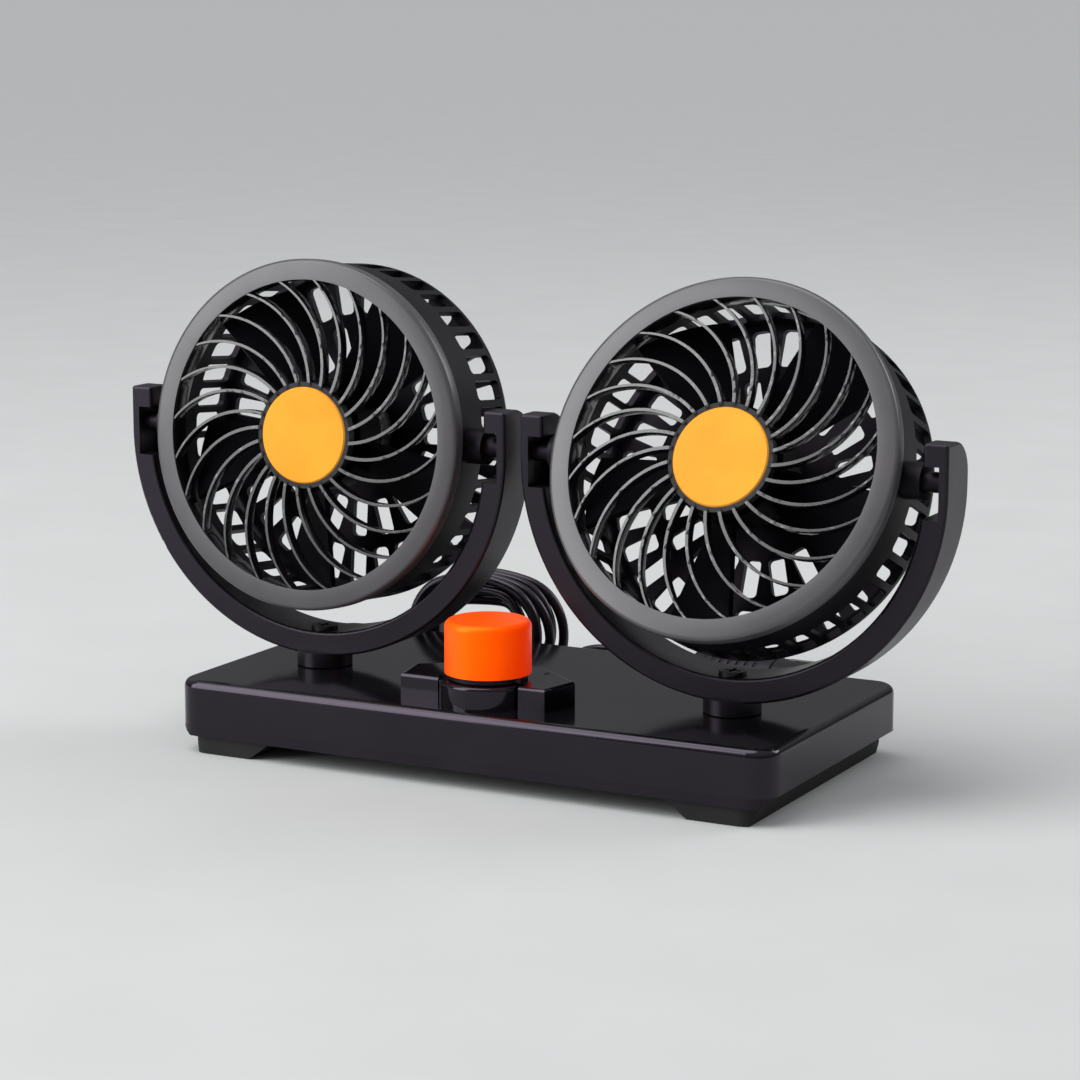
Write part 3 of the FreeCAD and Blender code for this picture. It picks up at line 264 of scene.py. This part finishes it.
def plastic(name, dark, light, shine, grain, specular):
    """Moulded plastic with patches of more or less shine."""
    smooth, rough = shine
    finish = moulded(name, dark, light, (smooth + rough) / 2, grain, specular)
    finish.between(finish.noise(SHINE_SIZE, SHINE_DETAIL), smooth, rough, "Roughness")
    return finish


def metal(name, dark, light, shine):
    """Drawn metal: streaks along one direction."""
    smooth, rough = shine
    finish = Finish(name, (smooth + rough) / 2, metallic=1.0)
    streaks = finish.noise(STREAK_SIZE, STREAK_DETAIL, STREAK_STRETCH)
    finish.between(streaks, dark, light, "Base Color")
    finish.between(finish.noise(METAL_SHINE_SIZE, METAL_SHINE_DETAIL), smooth, rough, "Roughness")
    finish.relief(streaks, STREAK_DEPTH)
    return finish


# Colours from dark to light, roughness from smooth to rough, and the grain's size and depth
PLASTICS = {
    "gloss_black": dict(dark=(0.004, 0.0037, 0.005), light=(0.006, 0.0056, 0.007),
                        shine=(0.09, 0.14), grain=(6.0, 0.010), specular=0.4),
    "gloss_yoke": dict(dark=(0.004, 0.0037, 0.005), light=(0.006, 0.0056, 0.007),
                       shine=(0.28, 0.38), grain=(0.7, 0.006), specular=0.32),
    "satin_black": dict(dark=(0.004, 0.004, 0.005), light=(0.006, 0.006, 0.007),
                        shine=(0.34, 0.46), grain=(0.6, 0.008), specular=0.3),
    "housing_black": dict(dark=(0.002, 0.002, 0.003), light=(0.004, 0.004, 0.005),
                          shine=(0.40, 0.52), grain=(0.6, 0.008), specular=0.2),
    "rotor_black": dict(dark=(0.0015, 0.0015, 0.002), light=(0.003, 0.003, 0.004),
                        shine=(0.45, 0.58), grain=(0.8, 0.006), specular=0.1),
    "ring_grey": dict(dark=(0.060, 0.057, 0.063), light=(0.074, 0.070, 0.077),
                      shine=(0.27, 0.35), grain=(0.5, 0.008), specular=0.57),
    "cap_orange": dict(dark=(0.93, 0.36, 0.018), light=(1.0, 0.42, 0.026),
                       shine=(0.46, 0.56), grain=(0.8, 0.006), specular=0.2),
    "knob_orange": dict(dark=(0.98, 0.095, 0.0005), light=(1.0, 0.12, 0.001),
                        shine=(0.34, 0.42), grain=(0.9, 0.005), specular=0.6),
    "rubber_black": dict(dark=(0.008, 0.008, 0.009), light=(0.013, 0.013, 0.014),
                         shine=(0.62, 0.74), grain=(0.5, 0.02), specular=0.3),
    "cord_black": dict(dark=(0.005, 0.005, 0.006), light=(0.008, 0.008, 0.009),
                       shine=(0.22, 0.32), grain=(0.8, 0.008), specular=0.5),
}
METALS = {
    "black_steel": dict(dark=(0.022, 0.022, 0.024), light=(0.036, 0.036, 0.038), shine=(0.34, 0.46)),
    "steel": dict(dark=(0.42, 0.42, 0.43), light=(0.58, 0.58, 0.59), shine=(0.22, 0.34)),
}
# Black plastics shine with a cast of violet.
BLACK_TINT = (0.90, 0.77, 1.0)
TINTED = ("gloss_black", "gloss_yoke", "satin_black", "housing_black", "rotor_black", "cord_black")
KNOB_TINT = (1.0, 0.95, 0.02)
# Painted glow on the knob: a red emission that brightens its shaded side.
KNOB_PAINTED_GLOW, KNOB_PAINTED_GLOW_STRENGTH = (1.0, 0.012, 0.0), 0.5

FINISHES = {name: plastic(name, **look) for name, look in PLASTICS.items()}
FINISHES.update({name: metal(name, **look) for name, look in METALS.items()})
for slot in TINTED:
    FINISHES[slot].tint_shine(BLACK_TINT)
FINISHES["knob_orange"].tint_shine(KNOB_TINT)
# The knob's painted glow, a red emission.
FINISHES["knob_orange"].paint_glow(KNOB_PAINTED_GLOW, KNOB_PAINTED_GLOW_STRENGTH)

# Guards: the spokes are polished, and the rim round the cap is dull

SIDES = {"left": -1, "right": 1}
HEAD_TILTS = {"left": 5.25, "right": 22.5}
HEAD_SPOT = Vector((64.7, -9.4, 88.3))
GUARD_DARK, GUARD_LIGHT = (0.006, 0.006, 0.008), (0.010, 0.009, 0.012)
GUARD_GRAIN = (0.5, 0.004)
GUARD_SPECULAR = 0.9
HUB_RIM = 15.1
RIM_ROUGHNESS, SPOKE_ROUGHNESS = 0.85, 0.2
SPOKE_ROUND = 0.3
SPOKE_ROUND_STEPS = 3
SPOKE_EDGE_ANGLE = math.radians(50)


def head_spot(side):
    """Where a head's axis crosses its pivots."""
    return Vector((SIDES[side] * HEAD_SPOT.x, HEAD_SPOT.y, HEAD_SPOT.z))


def guard_plastic(side):
    """Guard plastic whose shine changes at the rim round the cap."""
    finish = moulded(f"guard_black_{side}", GUARD_DARK, GUARD_LIGHT, SPOKE_ROUGHNESS,
                     GUARD_GRAIN, GUARD_SPECULAR)
    distance = finish.distance_from(head_spot(side), HEAD_TILTS[side])
    finish.step(distance, HUB_RIM, RIM_ROUGHNESS, SPOKE_ROUGHNESS, "Roughness")
    return finish


def round_spokes(grille):
    """Round the long edges of a guard's spokes."""
    weld = grille.modifiers.new("joined_faces", "WELD")
    weld.merge_threshold = SAME_SPOT
    bevel = grille.modifiers.new("rounded_spokes", "BEVEL")
    bevel.width = SPOKE_ROUND * MM
    bevel.segments = SPOKE_ROUND_STEPS
    bevel.limit_method = "ANGLE"
    bevel.angle_limit = SPOKE_EDGE_ANGLE
    bevel.harden_normals = True


GUARDS = {f"{side}_guard_grille": guard_plastic(side) for side in SIDES}
for part in frame["record"]["subparts"]:
    finish = GUARDS.get(part["node"]) or FINISHES[part["material_slot"]]
    mesh = nodes[part["node"]].data
    mesh.materials.clear()
    mesh.materials.append(finish.made)
for name in GUARDS:
    round_spokes(nodes[name])
cord.data.materials.append(FINISHES["cord_black"].made)

# Making of moulded pieces

LATHE_STEPS = 56
LATHE_SOFTEN = 0.15
SOFT_EDGE_STEPS = 2
# Across one rib and its groove: the share of the way, and the share of the groove's depth there
RIB_SHAPE = ((0.0, 0), (0.5, 0), (0.6, 1), (0.9, 1))


def finish_piece(bm, name, body, slot, soften):
    """Make a mesh a piece that rides on a body, with its edges softened by a width."""
    bmesh.ops.remove_doubles(bm, verts=bm.verts, dist=SAME_SPOT)
    bmesh.ops.recalc_face_normals(bm, faces=bm.faces)
    mesh = bpy.data.meshes.new(name)
    bm.to_mesh(mesh)
    bm.free()
    mesh.shade_smooth()
    mesh.materials.append(FINISHES[slot].made)
    item = bpy.data.objects.new(name, mesh)
    scene.collection.objects.link(item)
    bevel = item.modifiers.new("soft_edges", "BEVEL")
    bevel.width = soften * MM
    bevel.segments = SOFT_EDGE_STEPS
    bevel.limit_method = "ANGLE"
    bevel.harden_normals = True
    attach(item, body)
    return item


def lathe(name, profile, center, axis, body, slot, soften=LATHE_SOFTEN, steps=LATHE_STEPS):
    """A round piece: pairs of distance along the axis and radius, spun about the axis."""
    middle = Vector(center) * MM
    outward = axis.orthogonal().normalized()
    bm = bmesh.new()
    spots = [bm.verts.new(middle + (axis * along + outward * radius) * MM) for along, radius in profile]
    edges = [bm.edges.new(pair) for pair in zip(spots, spots[1:])]
    bmesh.ops.spin(bm, geom=spots + edges, cent=middle, axis=axis, dvec=(0, 0, 0), angle=2 * math.pi,
                   steps=steps, use_merge=True)
    return finish_piece(bm, name, body, slot, soften)


def ribbed(start, end, first_radius, last_radius, ribs, depth):
    """Profile of a tapering stretch with a groove after each rib."""
    points = []
    for rib in range(ribs):
        for share, sink in RIB_SHAPE:
            way = (rib + share) / ribs
            radius = first_radius + (last_radius - first_radius) * way
            points.append((start + (end - start) * way, radius - sink * depth))
    return points


# Front rings: a flat face that runs in over the ends of the spokes as a thin lip, and a rounded outer edge

RING_FRONT, RING_BACK = -11.1, -7.1
RING_OUTSIDE, RING_INSIDE, LIP_INSIDE = 50.0, 45.2, 44.1
LIP_BACK = -10.85
# How far the points of the rounding stand behind the ring's front and inside its outer edge
RING_ROUND = ((1.2, 0.0), (0.6, 0.17), (0.17, 0.6), (0.0, 1.2))
RING_STEPS = 160
RING_SOFTEN = 0.05


def make_front_ring(side):
    tilt = math.radians(HEAD_TILTS[side])
    rearward = Vector((0, math.cos(tilt), -math.sin(tilt)))
    rounding = [(RING_FRONT + behind, RING_OUTSIDE - inside) for behind, inside in RING_ROUND]
    profile = [(RING_BACK, RING_INSIDE), (RING_BACK, RING_OUTSIDE), *rounding, (RING_FRONT, LIP_INSIDE),
               (LIP_BACK, LIP_INSIDE), (LIP_BACK, RING_INSIDE), (RING_BACK, RING_INSIDE)]
    ring = lathe(f"{side}_face_ring", profile, head_spot(side), rearward, f"{side}_head", "ring_grey",
                 soften=RING_SOFTEN, steps=RING_STEPS)
    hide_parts(f"{side}_front_ring")


for side in SIDES:
    make_front_ring(side)

# Plug: a grip with ribs round it and a ribbed sleeve for the cord, on the plug's axis

PLUG_AXIS = (0, 60.0, 10.6)
SLEEVE_START, GRIP_START, GRIP_END = 14.0, 22.0, 48.0
SLEEVE_RADII = (2.4, 4.4)
SLEEVE_RIBS, SLEEVE_RIB_DEPTH = 4, 0.5
GRIP_RADIUS = 10.5
GRIP_BEVEL = 1.5
GRIP_RIBS_START, GRIP_RIBS_END = 25.0, 44.0
GRIP_RIBS, GRIP_RIB_DEPTH = 7, 0.6

plug_grip = lathe(
    "plug_grip",
    [(GRIP_START, 0), (GRIP_START, GRIP_RADIUS - GRIP_BEVEL), (GRIP_START + GRIP_BEVEL, GRIP_RADIUS)]
    + ribbed(GRIP_RIBS_START, GRIP_RIBS_END, GRIP_RADIUS, GRIP_RADIUS, GRIP_RIBS, GRIP_RIB_DEPTH)
    + [(GRIP_RIBS_END, GRIP_RADIUS), (GRIP_END, GRIP_RADIUS), (GRIP_END, 0)],
    PLUG_AXIS, ALONG_X, "base", "satin_black")
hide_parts("plug_body")
plug_sleeve = lathe(
    "plug_sleeve",
    [(SLEEVE_START, 0)]
    + ribbed(SLEEVE_START, GRIP_START, *SLEEVE_RADII, SLEEVE_RIBS, SLEEVE_RIB_DEPTH)
    + [(GRIP_START, SLEEVE_RADII[1]), (GRIP_START, 0)],
    PLUG_AXIS, ALONG_X, "base", "satin_black")
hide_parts("plug_relief")

# Sleeve at the cord's exit: a flange inside the base's wall, a neck in its hole, and a ribbed taper outside

CORD_HOLE = (-82.0, 0, 14.0)
FLANGE_START, WALL_INSIDE, WALL_OUTSIDE, TAPER_END = 42.95, 44.15, 46.35, 52.4
FLANGE_RADIUS = 3.4
NECK_RADIUS = 2.5
TAPER_RIBS = 3

cord_sleeve = lathe(
    "cord_sleeve",
    [(FLANGE_START, 0), (FLANGE_START, FLANGE_RADIUS), (WALL_INSIDE, FLANGE_RADIUS),
     (WALL_INSIDE, NECK_RADIUS), (WALL_OUTSIDE, NECK_RADIUS)]
    + ribbed(WALL_OUTSIDE, TAPER_END, FLANGE_RADIUS, NECK_RADIUS, TAPER_RIBS, SLEEVE_RIB_DEPTH)
    + [(TAPER_END, NECK_RADIUS), (TAPER_END, 0)],
    CORD_HOLE, ALONG_Y, "base", "satin_black")
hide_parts("strain_relief")

# Tie round the hank's left bend

BAND_CORNER = 3.0
BAND_CORNER_STEPS = 6
BAND_THICKNESS = 0.8
BAND_SOFTEN = 0.2


def make_tie():
    """A flat band with rounded corners."""
    low, high = (Vector(corner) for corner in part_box("cord_tie"))
    bm = bmesh.new()
    bmesh.ops.create_cube(bm, size=1)
    bmesh.ops.scale(bm, vec=high - low, verts=bm.verts)
    bmesh.ops.translate(bm, vec=(low + high) / 2, verts=bm.verts)
    ends = [face for face in bm.faces if abs(face.normal.z) > abs(face.normal.x + face.normal.y)]
    bmesh.ops.delete(bm, geom=ends, context="FACES")
    uprights = [edge for edge in bm.edges if abs(edge.verts[0].co.z - edge.verts[1].co.z) > SAME_SPOT]
    bmesh.ops.bevel(bm, geom=uprights, offset=BAND_CORNER * MM, affect="EDGES", segments=BAND_CORNER_STEPS,
                    profile=0.5, material=-1)
    bmesh.ops.recalc_face_normals(bm, faces=bm.faces)
    bmesh.ops.solidify(bm, geom=bm.faces, thickness=BAND_THICKNESS * MM)
    return finish_piece(bm, "cord_band", "base", "cord_black", BAND_SOFTEN)


cord_band = make_tie()
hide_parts("cord_tie")

# Pointer on the knob's skirt, and the mark beside it on the plinth

KNOB_MIDDLE = Vector((0, -29.0, 0))
POINTER_ANGLE = math.radians(-14)
POINTER_SIZE = Vector((4.0, 3.2, 1.5))
POINTER_TIP_SCALE = (1, 0.6, 1)
POINTER_REACH = 12.8
POINTER_BOTTOM = 27.8
POINTER_SOFTEN = 0.3
MARK_SPOT = Vector((11.9, -16.9, 27.5))
MARK_SIZE = Vector((1.5, 2.4, 0.24))
MARK_STEPS_ROUND, MARK_STEPS_UP = 24, 12
MARK_SOFTEN = 0.02


def make_pointer():
    """A tab that stands out of the skirt and narrows to its end."""
    bm = bmesh.new()
    bmesh.ops.create_cube(bm, size=1)
    bmesh.ops.scale(bm, vec=POINTER_SIZE * MM, verts=bm.verts)
    tip = [vert for vert in bm.verts if vert.co.x > 0]
    bmesh.ops.scale(bm, vec=POINTER_TIP_SCALE, verts=tip)
    reach = POINTER_REACH - POINTER_SIZE.x / 2
    spot = Vector((math.cos(POINTER_ANGLE), math.sin(POINTER_ANGLE), 0)) * reach + KNOB_MIDDLE
    turn = ALONG_X.rotation_difference(spot - KNOB_MIDDLE)
    bmesh.ops.rotate(bm, cent=(0, 0, 0), matrix=turn.to_matrix(), verts=bm.verts)
    height = POINTER_BOTTOM + POINTER_SIZE.z / 2
    bmesh.ops.translate(bm, vec=(spot + UP * height) * MM, verts=bm.verts)
    finish_piece(bm, "skirt_pointer", "knob", "satin_black", POINTER_SOFTEN)


def make_mark():
    """A small oval pip on top of the plinth."""
    bm = bmesh.new()
    bmesh.ops.create_uvsphere(bm, u_segments=MARK_STEPS_ROUND, v_segments=MARK_STEPS_UP, radius=0.5)
    bmesh.ops.scale(bm, vec=MARK_SIZE * MM, verts=bm.verts)
    bmesh.ops.translate(bm, vec=MARK_SPOT * MM, verts=bm.verts)
    finish_piece(bm, "setting_pip", "base", "rubber_black", MARK_SOFTEN)


make_pointer()
make_mark()

# Floor and light

FLOOR_REACH = 80.0
FLOOR_ROUGHNESS = 0.9
FLOOR_DARK, FLOOR_LIGHT = (0.53, 0.54, 0.54), (0.55, 0.56, 0.56)
FLOOR_BLOTCH_SIZE, FLOOR_BLOTCH_DETAIL = 50, 3
SOFTBOX_AIM = Vector((0, 0, 0.30))
# The room's light, by the height of the direction it comes from: 0 at the horizon and 1 overhead
LOW_LIGHT, LOW_HEIGHT = (0.12, 0.12, 0.125), 0.15
HIGH_LIGHT, HIGH_HEIGHT = (0.55, 0.55, 0.56), 0.75


def softbox(name, spot, width, height, power):
    """A soft rectangular lamp that faces the object."""
    data = bpy.data.lights.new(name, "AREA")
    data.shape = "RECTANGLE"
    data.size = width
    data.size_y = height
    data.energy = power
    item = bpy.data.objects.new(name, data)
    item.location = spot
    item.rotation_mode = "QUATERNION"
    item.rotation_quaternion = (SOFTBOX_AIM - item.location).to_track_quat("-Z", "Y")
    item.visible_camera = False
    scene.collection.objects.link(item)


def sun(name, toward, strength, spread):
    """A soft distant lamp that shines along a direction."""
    data = bpy.data.lights.new(name, "SUN")
    data.energy = strength
    data.angle = math.radians(spread)
    item = bpy.data.objects.new(name, data)
    item.rotation_mode = "QUATERNION"
    item.rotation_quaternion = Vector(toward).to_track_quat("-Z", "Y")
    scene.collection.objects.link(item)


def make_floor():
    bm = bmesh.new()
    bmesh.ops.create_grid(bm, x_segments=1, y_segments=1, size=FLOOR_REACH)
    mesh = bpy.data.meshes.new("floor")
    bm.to_mesh(mesh)
    bm.free()
    paper = Finish("floor_paper", FLOOR_ROUGHNESS)
    blotches = paper.noise(FLOOR_BLOTCH_SIZE, FLOOR_BLOTCH_DETAIL)
    paper.between(blotches, FLOOR_DARK, FLOOR_LIGHT, "Base Color")
    mesh.materials.append(paper.made)
    item = bpy.data.objects.new("floor", mesh)
    scene.collection.objects.link(item)


def make_world():
    """Room light: grey near the horizon and brighter overhead."""
    world = bpy.data.worlds.new("studio")
    world.use_nodes = True
    tree = world.node_tree
    direction = tree.nodes.new("ShaderNodeTexCoord").outputs["Generated"]
    split = tree.nodes.new("ShaderNodeSeparateXYZ")
    tree.links.new(direction, split.inputs["Vector"])
    ramp = tree.nodes.new("ShaderNodeValToRGB")
    low, high = ramp.color_ramp.elements
    low.position = LOW_HEIGHT
    low.color = (*LOW_LIGHT, 1)
    high.position = HIGH_HEIGHT
    high.color = (*HIGH_LIGHT, 1)
    tree.links.new(split.outputs["Z"], ramp.inputs["Fac"])
    tree.links.new(ramp.outputs["Color"], tree.nodes["Background"].inputs["Color"])
    scene.world = world


make_floor()
make_world()
softbox("front_left_softbox", spot=(-0.90, -0.95, 0.72), width=0.85, height=1.33, power=18.0)
softbox("back_right_softbox", spot=(1.00, 1.05, 1.00), width=0.70, height=0.90, power=8.0)
sun("overhead", toward=(0.25, 0.20, -0.95), strength=1.3, spread=40)
scene.view_settings.view_transform = "Standard"

bpy.context.view_layer.update()
